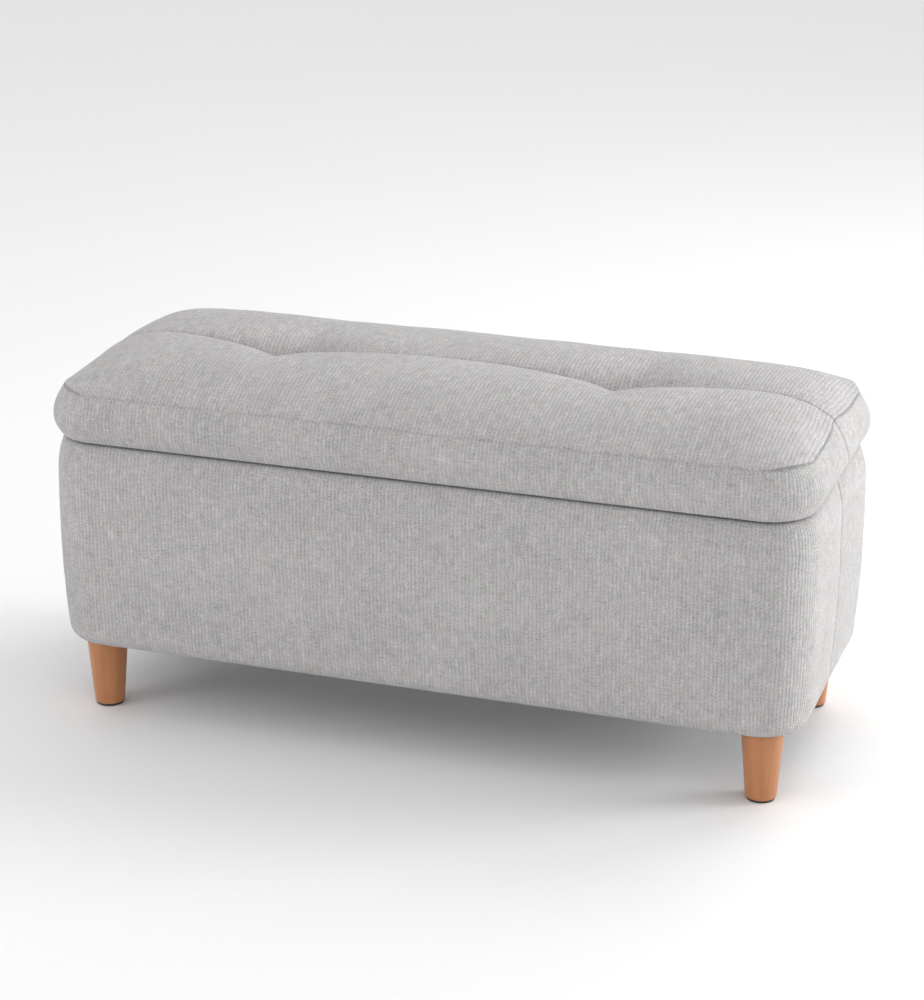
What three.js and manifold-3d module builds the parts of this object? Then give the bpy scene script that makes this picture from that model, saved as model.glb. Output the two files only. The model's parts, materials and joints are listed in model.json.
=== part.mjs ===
// Upholstered storage bench: a padded box on four turned legs, with a tufted lid that gas struts hold open.
// Millimetres, +Z up. The origin is on the floor under the middle of the bench, +X runs along its length to
// the right and -Y faces the front. The lid is shut; its hinge line runs along X behind the box.
import * as THREE from "three";
import { mergeVertices } from "three/addons/utils/BufferGeometryUtils.js";
import Module from "manifold-3d";

const wasm = await Module();
wasm.setup();

// ---- driving dimensions ----
const LENGTH = 1000; // over the lid's fabric
const DEPTH = 400;
const LEG_HEIGHT = 92; // floor to the underside of the box
const CORNER = 70; // plan radius of the lid's corners
const BOX_STEP_BACK = 3; // the box's sides stand this far inside the lid's
const BOX_BOTTOM = 93.4; // underside of the box's fabric
const RIM_TOP = 369; // top of the box's fabric-covered rim
const LID_BOTTOM = 374.4; // underside of the lid's turned-in fabric
const LID_SEAM = 437; // height of the seam between the lid's top and its border
const CROWN = 43; // rise of the lid's top above that seam
const CROWN_POWER = { along: 10, across: 3.5 }; // how late the crown falls off towards its edges
const FABRIC = 1.2;
const LINING = 0.8;
const FIT = 0.3; // gap between touching pieces
const BOARD = 15; // thickness of the box's panels
const COVER_TO_BOARD = 12; // fabric surface to panel face: fabric, padding and their gaps
const POST = 60; // side of a corner post
const LEG = { x: 437, y: 146, topRadius: 26.5, bottomRadius: 19.4, glide: 3 };
const BOLT = { radius: 4, bottom: 64, top: 130, insertRadius: 7, insertLength: 14 };
const HEM_INSET = COVER_TO_BOARD + BOARD + 2.8; // the box cover's turned-in hem, inside the panels
const HEM_DROP = 43;
const BOX_DRAW = { foot: 6, rim: 10, footFrom: 250, rimFrom: 320 }; // drawing in of the fabric
const FOOT = { flat: 24, rise: 22 }; // the quarter round that turns the box's fabric under
const DUST_COVER = { inset: 36, corner: 24, boltHole: 5 };
const BUMPER = { x: 400, radius: 6, edge: 0.8 };
const LID_DRAW = { hem: 12, seam: 10, widest: 403 }; // how far the border draws in; its widest height
const PINCH = { depth: 8, width: 28 }; // at the middle of each end, where the seams meet
const VALLEY = { depth: 3, atTuft: 6, tuftSpread: 75, width: 24 };
const TUFT = { x: 223, depth: 37, reach: 30, stretch: 0.62 };
const TIE = { cord: 1.8, disc: 10, thickness: 2, clearance: 0.4 };
const HINGE = { x: 300, y: 196, z: 371.1, length: 60, knuckle: 3.4, pin: 1.6, leaf: 1.5, inner: 168 };
const SCREW_HOLE = { radius: 2.2, spacing: 20, fromInnerEdge: 9 };
const STRUT = { x: 410, baseY: 134, baseZ: 204, lidY: 152, lidZ: 352, tube: 7.5, rod: 3.5 };
const FITTING = { radius: 6, width: 7, neck: 3.2, baseStud: 2.9, lidStud: 4, cap: 4.6 };

// ---- materials ----
const paint = (color, roughness, metalness = 0) =>
  new THREE.MeshStandardMaterial({ color, roughness, metalness });
const fabricGrey = paint(0xb4b3b3, 0.95);
const beech = paint(0xc98a55, 0.45);
const plywood = paint(0xcdb08a, 0.7);
const foam = paint(0xe9e2c8, 0.9);
const nonWoven = paint(0x2c2c2e, 0.95);
const liningGrey = paint(0x6f6f72, 0.95);
const zinc = paint(0xb9bcc0, 0.35, 1);
const strutBlack = paint(0x1c1c1e, 0.4, 0.3);
const darkPlastic = paint(0x3a2a20, 0.8);

const bench = new THREE.Group();

/** Adds one piece of the bench as a named mesh and returns it. */
function addPiece(name, geometry, material) {
  const mesh = new THREE.Mesh(geometry, material);
  mesh.name = name;
  bench.add(mesh);
  return mesh;
}

// ---- solids ----

/** A closed geometry as a manifold solid. */
function solidOf(geometry) {
  const loose = geometry.index ? geometry.toNonIndexed() : geometry;
  const bare = new THREE.BufferGeometry().setAttribute("position", loose.getAttribute("position"));
  const merged = mergeVertices(bare, 1e-3);
  const vertProperties = merged.attributes.position.array;
  const triVerts = new Uint32Array(merged.index.array);
  return new wasm.Manifold(new wasm.Mesh({ numProp: 3, vertProperties, triVerts }));
}

/** A manifold solid as a three.js geometry. */
function geometryOf(solid) {
  const mesh = solid.getMesh();
  const geometry = new THREE.BufferGeometry();
  geometry.setAttribute("position", new THREE.BufferAttribute(mesh.vertProperties, 3));
  geometry.setIndex(new THREE.BufferAttribute(mesh.triVerts, 1));
  return geometry;
}

/** The first geometry with the others cut out of it. */
function cut(geometry, ...tools) {
  return geometryOf(tools.reduce((left, tool) => left.subtract(solidOf(tool)), solidOf(geometry)));
}

/** The geometries joined into one. */
function join(...geometries) {
  return geometryOf(geometries.map(solidOf).reduce((sum, next) => sum.add(next)));
}

/** A block between two corners. */
function block(low, high) {
  const size = high.map((value, axis) => value - low[axis]);
  const middle = high.map((value, axis) => (value + low[axis]) / 2);
  return new THREE.BoxGeometry(...size).translate(...middle);
}

/** A solid turned about a vertical line through (x, y), from [radius, z] points that start and end on it. */
function turned(points, segments, x = 0, y = 0) {
  const profile = points.map(([radius, z]) => new THREE.Vector2(radius, z));
  return new THREE.LatheGeometry(profile, segments).rotateX(Math.PI / 2).translate(x, y, 0);
}

/** A vertical round bar. */
function post(radius, bottom, top, segments, x = 0, y = 0) {
  return turned([[0, bottom], [radius, bottom], [radius, top], [0, top]], segments, x, y);
}

/** A round bar along X. */
function axle(radius, from, to, segments, y, z) {
  const bar = new THREE.CylinderGeometry(radius, radius, to - from, segments);
  return bar.rotateZ(Math.PI / 2).translate((from + to) / 2, y, z);
}

/** A flat plan shape raised from one height to another. */
function slab(shape, bottom, top, curveSegments = 5) {
  const options = { depth: top - bottom, bevelEnabled: false, curveSegments };
  return new THREE.ExtrudeGeometry(shape, options).translate(0, 0, bottom);
}

/** A rectangle with round corners about the origin. */
function roundedRectangle(halfLength, halfDepth, radius) {
  const shape = new THREE.Shape();
  const corners = [[1, 1, 0], [-1, 1, 0.5], [-1, -1, 1], [1, -1, 1.5]];
  for (const [sx, sy, turn] of corners) {
    const [x, y] = [sx * (halfLength - radius), sy * (halfDepth - radius)];
    shape.absarc(x, y, radius, turn * Math.PI, (turn + 0.5) * Math.PI, false);
  }
  return shape;
}

/** A rectangle about the origin with a square notch cut from each corner. */
function notchedRectangle(halfLength, halfDepth, notch) {
  const [x, y] = [halfLength - notch, halfDepth - notch];
  const quarter = [[x, halfDepth], [x, y], [halfLength, y]];
  const shape = new THREE.Shape();
  const points = [];
  for (const [sx, sy] of [[1, 1], [1, -1], [-1, -1], [-1, 1]]) {
    const ordered = sx * sy > 0 ? quarter : [...quarter].reverse();
    points.push(...ordered.map(([px, py]) => new THREE.Vector2(sx * px, sy * py)));
  }
  return shape.setFromPoints(points);
}

// ---- sewn sheets ----

/** Turns the diagonals of a box's underside to lie under its top's: a bent sheet then keeps its thickness. */
function matchDiagonals(geometry) {
  const { index } = geometry;
  const underside = geometry.groups[5];
  for (let i = underside.start; i < underside.start + underside.count; i += 6) {
    const [a, b, d, c] = [0, 1, 2, 4].map((step) => index.getX(i + step));
    [a, b, c, a, c, d].forEach((vertex, step) => index.setX(i + step, vertex));
  }
}

/** A unit box many cells long and wide and one cell thick; place(u, v, t) gives each vertex its position. */
function bentSheet(cellsU, cellsV, place) {
  const geometry = new THREE.BoxGeometry(1, 1, 1, cellsU, cellsV, 1);
  matchDiagonals(geometry);
  const position = geometry.attributes.position;
  for (let i = 0; i < position.count; i += 1) {
    const [u, v, t] = [position.getX(i) + 0.5, position.getY(i) + 0.5, position.getZ(i) + 0.5];
    position.setXYZ(i, ...place(u, v, t));
  }
  return geometry;
}

/** Stations round the front half of a rounded rectangle, from the middle of one end to the other's. */
function frontOutline(halfLength, halfDepth, radius) {
  const stations = [];
  const endSteps = [FIT / 2, 25, 60];
  const arcSteps = 4;
  for (const y of endSteps) stations.push({ x: -halfLength, y: -y, nx: -1, ny: 0 });
  for (let i = 0; i <= arcSteps; i += 1) {
    const angle = Math.PI + (i / arcSteps) * (Math.PI / 2);
    const [nx, ny] = [Math.cos(angle), Math.sin(angle)];
    stations.push({ x: -halfLength + radius + nx * radius, y: -halfDepth + radius + ny * radius, nx, ny });
  }
  const mirrored = stations.map(({ x, y, nx, ny }) => ({ x: -x, y, nx: -nx, ny })).reverse();
  return [...stations, ...mirrored];
}

/** Moves a profile of [inset, z] points towards its back by a distance. Its face is on its left-hand side. */
function behind(profile, distance) {
  return profile.map((point, i) => {
    const before = profile[Math.max(i - 1, 0)];
    const after = profile[Math.min(i + 1, profile.length - 1)];
    const [run, rise] = [after[0] - before[0], after[1] - before[1]];
    const length = Math.hypot(run, rise);
    return [point[0] + (rise / length) * distance, point[1] - (run / length) * distance];
  });
}

/** A sheet that follows an outline's stations, with face and back profiles of [inset, z] points. */
function wrappedSheet(stations, face, back, pinch = () => 0) {
  const [cellsU, cellsV] = [stations.length - 1, face.length - 1];
  return bentSheet(cellsU, cellsV, (u, v, t) => {
    const { x, y, nx, ny } = stations[Math.round(u * cellsU)];
    const [inset, z] = (t > 0.5 ? face : back)[Math.round(v * cellsV)];
    const inward = inset + pinch(x, y, z);
    return [x - nx * inward, y - ny * inward, z];
  });
}

// ---- the box ----

const boxHalfLength = LENGTH / 2 - BOX_STEP_BACK;
const boxHalfDepth = DEPTH / 2 - BOX_STEP_BACK;
const boxCorner = CORNER - BOX_STEP_BACK;
const carcassHalfLength = boxHalfLength - COVER_TO_BOARD;
const carcassHalfDepth = boxHalfDepth - COVER_TO_BOARD;
const carcassBottom = BOX_BOTTOM + FABRIC + FIT;
const carcassTop = RIM_TOP - FABRIC - FIT;
const innerHalfLength = carcassHalfLength - BOARD;
const innerHalfDepth = carcassHalfDepth - BOARD;
const floorBottom = carcassBottom;
const floorTop = floorBottom + 12;
const hemBottom = RIM_TOP - HEM_DROP;

/** How far the box's fabric stands inside its widest outline: it draws in below and at the rim. */
function boxInset(z) {
  const { foot, rim, footFrom, rimFrom } = BOX_DRAW;
  const below = Math.max(0, (footFrom - z) / (footFrom - BOX_BOTTOM - FOOT.rise));
  const above = Math.max(0, (z - rimFrom) / (RIM_TOP - rimFrom));
  return foot * below ** 2 + rim * above ** 2.2;
}

/** A point on the box's turned-under edge, from the underside at 0 to the side at 1. */
function boxFoot(share) {
  const angle = (share * Math.PI) / 2;
  const reach = FOOT.flat - boxInset(BOX_BOTTOM + FOOT.rise);
  return [FOOT.flat - reach * Math.sin(angle), BOX_BOTTOM + FOOT.rise * (1 - Math.cos(angle))];
}

/** The carcass's outer shape as a solid: boards and posts are cut to it so that the fabric can turn under. */
function carcassEnvelope() {
  const curl = [[24, 4.6], [18, 8.6], [13.5, 15.6], [12, 23.6]];
  const rising = curl.map(([inset, rise]) => [inset, BOX_BOTTOM + rise]);
  const underside = [[37, carcassBottom], ...rising];
  const levels = [...underside, [12, carcassTop - 3], [15.5, carcassTop]];
  const [cells, stations] = [levels.length - 1, frontOutline(boxHalfLength, boxHalfDepth, boxCorner)];
  const around = [...stations, ...stations.map(({ x, y, nx, ny }) => ({ x: -x, y: -y, nx: -nx, ny: -ny }))];
  const drum = new THREE.CylinderGeometry(1, 1, 1, around.length, cells).rotateX(Math.PI / 2);
  const position = drum.attributes.position;
  for (let i = 0; i < position.count; i += 1) {
    const level = levels[Math.round((position.getZ(i) + 0.5) * cells)];
    const radius = Math.hypot(position.getX(i), position.getY(i));
    const turn = Math.atan2(position.getY(i), position.getX(i)) / (2 * Math.PI);
    const index = Math.round((turn + 1) * around.length) % around.length;
    const { x, y, nx, ny } = around[index];
    const onRim = radius > 0.5;
    const [px, py] = onRim ? [x - nx * level[0], y - ny * level[0]] : [0, 0];
    position.setXYZ(i, px, py, level[1]);
  }
  return solidOf(drum);
}

const envelope = carcassEnvelope();

/** A board or post shaped to the carcass. */
function shaped(geometry) {
  return geometryOf(solidOf(geometry).intersect(envelope));
}

function addPanels() {
  const endOfPanel = carcassHalfLength - POST - FIT;
  const sideOfEnd = carcassHalfDepth - POST - FIT;
  const [low, high] = [carcassBottom, carcassTop];
  const long = block([-endOfPanel, -carcassHalfDepth, low], [endOfPanel, -innerHalfDepth, high]);
  const short = block([innerHalfLength, -sideOfEnd, low], [carcassHalfLength, sideOfEnd, high]);
  addPiece("front_panel", shaped(long), plywood);
  addPiece("back_panel", shaped(long), plywood).rotation.z = Math.PI;
  addPiece("right_end_panel", shaped(short), plywood);
  addPiece("left_end_panel", shaped(short), plywood).rotation.z = Math.PI;
  const notch = POST - BOARD;
  const floorShape = notchedRectangle(innerHalfLength - FIT, innerHalfDepth - FIT, notch);
  addPiece("floor_panel", shaped(slab(floorShape, floorBottom, floorTop)), plywood);
}

/** Runs a maker for each corner: its name and its signs along X and Y. */
function atCorners(make) {
  for (const [side, sx] of [["left", -1], ["right", 1]]) {
    for (const [face, sy] of [["front", -1], ["back", 1]]) make(`${face}_${side}`, sx, sy);
  }
}

function addCorner(name, sx, sy) {
  const [x, y] = [sx * LEG.x, sy * LEG.y];
  const outer = [sx * carcassHalfLength, sy * carcassHalfDepth];
  const inner = [sx * (carcassHalfLength - POST), sy * (carcassHalfDepth - POST)];
  const low = [Math.min(outer[0], inner[0]), Math.min(outer[1], inner[1]), carcassBottom];
  const high = [Math.max(outer[0], inner[0]), Math.max(outer[1], inner[1]), carcassTop];
  const timber = shaped(block(low, high));
  const insertTop = carcassBottom + BOLT.insertLength;
  const bore = post(BOLT.radius + FIT, carcassBottom - 5, BOLT.top + 2, 10, x, y);
  const seat = post(BOLT.insertRadius + FIT, carcassBottom - 5, insertTop + FIT, 10, x, y);
  const hemRoom = COVER_TO_BOARD + BOARD;
  const hemOutline = roundedRectangle(boxHalfLength - hemRoom, boxHalfDepth - hemRoom, boxCorner - hemRoom);
  const rebate = slab(hemOutline, hemBottom - 2, RIM_TOP);
  addPiece(`corner_post_${name}`, cut(timber, bore, seat, rebate), plywood);

  const sleeve = post(BOLT.insertRadius, carcassBottom + FIT, insertTop, 10, x, y);
  const thread = post(BOLT.radius + FIT, carcassBottom - 5, insertTop + 5, 10, x, y);
  addPiece(`threaded_insert_${name}`, cut(sleeve, thread), zinc);
  addPiece(`hanger_bolt_${name}`, post(BOLT.radius, BOLT.bottom, BOLT.top, 10, x, y), zinc);

  const legBottom = LEG.glide + FIT;
  const taper = [[0, legBottom], [LEG.bottomRadius - 1.5, legBottom], [LEG.bottomRadius, legBottom + 1.5]];
  const shoulder = [[LEG.topRadius, LEG_HEIGHT - 1], [LEG.topRadius - 1, LEG_HEIGHT], [0, LEG_HEIGHT]];
  const leg = turned([...taper, ...shoulder], 20, x, y);
  const boltHole = post(BOLT.radius + FIT, BOLT.bottom - 2, LEG_HEIGHT + 5, 10, x, y);
  addPiece(`leg_${name}`, cut(leg, boltHole), beech);
  const glideRadius = LEG.bottomRadius - 1.5;
  const tread = [[0, 0], [glideRadius - 1, 0], [glideRadius, LEG.glide / 2]];
  const disc = [...tread, [glideRadius, LEG.glide], [0, LEG.glide]];
  addPiece(`leg_glide_${name}`, turned(disc, 20, x, y), darkPlastic);
}

/** Adds a front piece and its copy at the back, half a turn round the bench's middle. */
function addPair(name, geometry, material) {
  addPiece(`${name}_front`, geometry, material);
  addPiece(`${name}_back`, geometry, material).rotation.z = Math.PI;
}

function addBoxPadding() {
  const heights = [134, 165, 210, 320, 345, 361];
  const face = heights.map((z) => [boxInset(z) + FABRIC + FIT, z]);
  const back = heights.map((z) => [COVER_TO_BOARD - FIT, z]);
  const stations = frontOutline(boxHalfLength, boxHalfDepth, boxCorner);
  addPair("box_padding", wrappedSheet(stations, face, back), foam);
}

function addBoxCover() {
  const turnUnder = [[42, BOX_BOTTOM], ...[0, 0.3, 0.65, 1].map(boxFoot)];
  const side = [165, 210, 250, 320, 345, 363].map((z) => [boxInset(z), z]);
  const rim = [[10.5, RIM_TOP - 1.2], [14, RIM_TOP], [HEM_INSET - 2.5, RIM_TOP], [HEM_INSET, RIM_TOP - 2.5]];
  const face = [...turnUnder, ...side, ...rim, [HEM_INSET, hemBottom]];
  const stations = frontOutline(boxHalfLength, boxHalfDepth, boxCorner);
  addPair("box_cover", wrappedSheet(stations, face, behind(face, FABRIC)), fabricGrey);
}

function addLinings() {
  const notch = POST - BOARD;
  const bottom = floorTop + FIT;
  const liningTop = hemBottom - FIT;
  const outside = notchedRectangle(innerHalfLength - FIT, innerHalfDepth - FIT, notch);
  const inside = notchedRectangle(innerHalfLength - FIT - LINING, innerHalfDepth - FIT - LINING, notch);
  const bag = cut(slab(outside, bottom, liningTop), slab(inside, bottom + LINING, liningTop + 5));
  addPiece("storage_lining", bag, liningGrey);

  const { inset, corner, boltHole } = DUST_COVER;
  const sheetOutline = roundedRectangle(boxHalfLength - inset, boxHalfDepth - inset, corner);
  const sheet = slab(sheetOutline, LEG_HEIGHT + FIT, BOX_BOTTOM - FIT, 3);
  const holes = [];
  const [low, high] = [LEG_HEIGHT - 5, LEG_HEIGHT + 5];
  atCorners((name, sx, sy) => holes.push(post(boltHole, low, high, 10, sx * LEG.x, sy * LEG.y)));
  addPiece("dust_cover", cut(sheet, ...holes), nonWoven);
}

function addBumpers() {
  const y = -(carcassHalfDepth - BOARD / 2);
  const [bottom, top] = [RIM_TOP + FIT, LID_BOTTOM - 1.5];
  const { x, radius, edge } = BUMPER;
  const disc = [[0, bottom], [radius, bottom], [radius, top - edge], [radius - edge, top], [0, top]];
  addPiece("lid_bumper_left", turned(disc, 16, -x, y), liningGrey);
  addPiece("lid_bumper_right", turned(disc, 16, x, y), liningGrey);
}

// ---- the lid ----

const lidHalfLength = LENGTH / 2;
const lidHalfDepth = DEPTH / 2;
const lidWidest = LID_DRAW.widest;
const topEdge = LID_DRAW.seam + FABRIC + 1.3; // inset of the top panels' edge, clear of the border

/** How far the lid's border stands inside the widest outline at a height. */
function lidInset(z) {
  const below = Math.max(0, (lidWidest - z) / (lidWidest - LID_BOTTOM));
  const above = Math.max(0, (z - lidWidest) / (LID_SEAM - lidWidest));
  return LID_DRAW.hem * below ** 2.5 + LID_DRAW.seam * above ** 2.4;
}

/** The seams across the ends draw the border in at the middle of each end, most at its top. */
function endPinch(x, y, z) {
  const nearEnd = Math.abs(x) > lidHalfLength - CORNER ? 1 : 0;
  const up = Math.max(0, (z - lidWidest) / (LID_SEAM - lidWidest));
  return nearEnd * PINCH.depth * up * Math.exp(-((y / PINCH.width) ** 2));
}

/** Height of the lid's top fabric: a crown with a shallow valley along the middle seam and two deep tufts. */
function lidTop(x, y) {
  const along = Math.min(1, Math.abs(x) / (lidHalfLength - LID_DRAW.seam));
  const across = Math.min(1, Math.abs(y) / (lidHalfDepth - LID_DRAW.seam));
  const crown = CROWN * (1 - along ** CROWN_POWER.along) * (1 - across ** CROWN_POWER.across);
  const fromTuft = Math.abs(x) - TUFT.x;
  const dimple = TUFT.depth * Math.exp(-Math.hypot(fromTuft * TUFT.stretch, y) / TUFT.reach);
  const valleyDepth = VALLEY.depth + VALLEY.atTuft * Math.exp(-((fromTuft / VALLEY.tuftSpread) ** 2));
  const valley = valleyDepth * Math.exp(-((y / VALLEY.width) ** 2));
  return LID_SEAM + crown - (dimple + valley) * (1 - along ** 10);
}

/** Pulls a point of the square plan of half-sizes a and b in, so that the plan's corners are round. */
function roundCorners(x, y, a, b, radius) {
  const reach = Math.max(Math.abs(x) / a, Math.abs(y) / b);
  if (reach < 1e-9) return [x, y];
  const [ex, ey] = [Math.abs(x) / reach, Math.abs(y) / reach];
  const [cx, cy] = [a - radius, b - radius];
  if (ex <= cx || ey <= cy) return [x, y];
  const dot = ex * cx + ey * cy;
  const square = ex * ex + ey * ey;
  const share = (dot + Math.sqrt(dot * dot - square * (cx * cx + cy * cy - radius * radius))) / square;
  const pull = 1 + (share - 1) * reach ** 4;
  return [x * pull, y * pull];
}

const plusAndMinus = (values) => [...values.map((value) => -value).reverse(), ...values];
// Stations over the lid's top as shares of its half length and half depth, closest together at the tufts.
const tuftShare = TUFT.x / (lidHalfLength - topEdge);
const nearTuft = [-0.107, -0.047, 0, 0.048, 0.108].map((step) => tuftShare + step);
const gridX = plusAndMinus([0.16, ...nearTuft, 0.71, 0.9, 1]);
const gridY = [0, 0.05, 0.12, 0.23, 0.43, 0.69, 0.9, 1];

/** Position of a grid point on the lid's plan, inside the border by an inset. */
function lidPlan(gx, gy, inset) {
  const [a, b] = [lidHalfLength - inset, lidHalfDepth - inset];
  return roundCorners(gx * a, gy * b, a, b, CORNER - inset);
}

function addLidTop() {
  const [cellsU, cellsV] = [gridX.length - 1, gridY.length - 1];
  const panel = bentSheet(cellsU, cellsV, (u, v, t) => {
    const gy = gridY[cellsV - Math.round(v * cellsV)];
    const [x, y] = lidPlan(gridX[Math.round(u * cellsU)], -gy, topEdge);
    const pulled = Math.abs(x) > lidHalfLength - 40 ? x * (1 - endPinch(x, y, LID_SEAM) / lidHalfLength) : x;
    return [pulled, y - (gy === 0 ? FIT : 0), lidTop(x, y) - (1 - t) * FABRIC];
  });
  addPair("lid_top", panel, fabricGrey);
}

function addLidBorder() {
  const hem = [[45, LID_BOTTOM], [16, LID_BOTTOM], [12, LID_BOTTOM + 0.8]];
  const side = [379, 389, lidWidest, 419, 430, LID_SEAM - 0.2].map((z) => [lidInset(z), z]);
  const face = [...hem, ...side];
  const stations = frontOutline(lidHalfLength, lidHalfDepth, CORNER);
  addPair("lid_border", wrappedSheet(stations, face, behind(face, FABRIC), endPinch), fabricGrey);
}

const lidBoard = { bottom: 376, top: 388, halfLength: 484, halfDepth: 184, radius: 56 };

function addLidBoard() {
  const { bottom, top, halfLength, halfDepth, radius } = lidBoard;
  const outline = roundedRectangle(halfLength, halfDepth, radius);
  const holes = [-TUFT.x, TUFT.x].flatMap((x) => {
    const cordHole = post(TIE.cord + TIE.clearance, bottom - 5, top + 5, 10, x);
    const discSeat = post(TIE.disc + 0.6, bottom - 5, bottom + TIE.thickness + 2 * FIT, 16, x);
    return [cordHole, discSeat];
  });
  addPiece("lid_board", cut(slab(outline, bottom, top), ...holes), plywood);
  const lining = roundedRectangle(halfLength - 12, halfDepth - 12, 44);
  addPiece("lid_lining", slab(lining, LID_BOTTOM - 1.2, LID_BOTTOM - FIT), nonWoven);
}

function addLidFoam() {
  const levels = [LID_BOTTOM + 3, 389, lidWidest, 419, LID_SEAM - 2];
  const sideClearance = FABRIC + 2.5;
  const rowsY = [...gridY.slice(1).map((y) => -y).reverse(), ...gridY];
  const crest = LID_SEAM + CROWN;
  const [cellsX, cellsY, cellsZ] = [gridX.length - 1, rowsY.length - 1, levels.length - 1];
  const pad = new THREE.BoxGeometry(1, 1, 1, cellsX, cellsY, cellsZ);
  const position = pad.attributes.position;
  for (let i = 0; i < position.count; i += 1) {
    const gx = gridX[Math.round((position.getX(i) + 0.5) * cellsX)];
    const gy = rowsY[Math.round((position.getY(i) + 0.5) * cellsY)];
    const level = Math.round((position.getZ(i) + 0.5) * cellsZ);
    const [onEnd, onTop] = [Math.abs(gx) === 1, level === cellsZ];
    const onEdge = onEnd || Math.abs(gy) === 1;
    const pinch = onEnd ? endPinch(lidHalfLength, gy * lidHalfDepth, levels[level]) : 0;
    const inset = onTop && !onEdge ? topEdge : lidInset(levels[level]) + sideClearance + pinch;
    const [x, y] = lidPlan(gx, gy, inset);
    const fabricTop = lidTop(x, y);
    const below = FABRIC + 2.6 + 0.15 * Math.max(0, crest - fabricTop);
    position.setXYZ(i, x, y, onTop && !onEdge ? fabricTop - below : levels[level]);
  }
  const { bottom, halfLength, halfDepth, radius } = lidBoard;
  const recessOutline = roundedRectangle(halfLength + FIT, halfDepth + FIT, radius);
  const recess = slab(recessOutline, bottom - 5, lidBoard.top + FIT);
  const ties = [-TUFT.x, TUFT.x].map((x) => post(TIE.cord + TIE.clearance, bottom, crest, 10, x));
  addPiece("lid_foam", cut(pad, recess, ...ties), foam);
}

function addTuftTies() {
  const { bottom } = lidBoard;
  const top = lidTop(TUFT.x, 0) - FABRIC - 1;
  const [low, high] = [bottom + FIT, bottom + FIT + TIE.thickness];
  const button = [[0, low], [TIE.disc, low], [TIE.disc, high], [TIE.cord, high], [TIE.cord, top], [0, top]];
  addPiece("tuft_tie_left", turned(button, 12, -TUFT.x), nonWoven);
  addPiece("tuft_tie_right", turned(button, 12, TUFT.x), nonWoven);
}

// ---- hinges ----

/** A leaf with its share of the hinge's five knuckles; the base leaf has the outer and middle ones. */
function hingeLeaf(x, bottom, firstKnuckle) {
  const { y, z, length, knuckle, pin, leaf, inner } = HINGE;
  const [start, step] = [x - length / 2, length / 5];
  const plate = block([start, inner, bottom], [start + length, y - 1, bottom + leaf]);
  const { radius, spacing, fromInnerEdge } = SCREW_HOLE;
  const screwY = inner + fromInnerEdge;
  const screwHole = (offset) => post(radius, bottom - 2, bottom + leaf + 2, 8, x + offset, screwY);
  const screwHoles = [-spacing, 0, spacing].map(screwHole);
  const barrels = [];
  const reliefs = [];
  for (let i = 0; i < 5; i += 1) {
    const [from, to] = [start + i * step, start + (i + 1) * step];
    if (i % 2 === firstKnuckle) barrels.push(axle(knuckle, from + 0.15, to - 0.15, 12, y, z));
    else reliefs.push(axle(knuckle + FIT, from - 0.15, to + 0.15, 12, y, z));
  }
  const hole = axle(pin + FIT, start - 5, start + length + 5, 12, y, z);
  return cut(join(cut(plate, ...reliefs), ...barrels), hole, ...screwHoles);
}

function addHinge(side, x) {
  const { y, z, length, knuckle, pin, leaf } = HINGE;
  const half = length / 2;
  addPiece(`hinge_base_leaf_${side}`, hingeLeaf(x, z - FIT - leaf, 0), zinc);
  addPiece(`hinge_lid_leaf_${side}`, hingeLeaf(x, z + FIT, 1), zinc);
  const head = axle(knuckle - 0.4, x + half + FIT, x + half + 1.8, 12, y, z);
  addPiece(`hinge_pin_${side}`, join(axle(pin, x - half - 1, x + half + 1, 12, y, z), head), zinc);
}

// ---- gas struts ----

const strutReach = Math.hypot(STRUT.lidY - STRUT.baseY, STRUT.lidZ - STRUT.baseZ);
const strutTilt = Math.atan2(STRUT.lidZ - STRUT.baseZ, STRUT.lidY - STRUT.baseY);
const strutBody = { start: 14, end: 120 }; // the tube's ends, measured from the base pivot
const rodInside = 28; // where the rod's hidden end lies when the lid is shut

/** Leans a piece made upright along +Z from its pivot, so that it runs to the lid pivot. */
function lean(mesh, x) {
  mesh.position.set(x, STRUT.baseY, STRUT.baseZ);
  mesh.rotation.x = strutTilt - Math.PI / 2;
}

/** A round end fitting about a pivot with a neck that reaches towards the strut's middle. */
function endFitting(z, towards) {
  const { radius, width, neck } = FITTING;
  const eye = new THREE.CylinderGeometry(radius, radius, width, 14).rotateZ(Math.PI / 2).translate(0, 0, z);
  return join(eye, post(neck, Math.min(z, towards), Math.max(z, towards), 10));
}

/** A block between two X distances outward from a strut's plane; out is the sign towards the bench's end. */
function outwardBlock(x, out, from, to, low, high) {
  const [near, far] = [x + out * from, x + out * to];
  return block([Math.min(near, far), ...low], [Math.max(near, far), ...high]);
}

/** A stud between two X distances outward from a strut's plane. */
function outwardStud(radius, x, out, from, to, y, z) {
  const [near, far] = [x + out * from, x + out * to];
  return axle(radius, Math.min(near, far), Math.max(near, far), 12, y, z);
}

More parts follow.
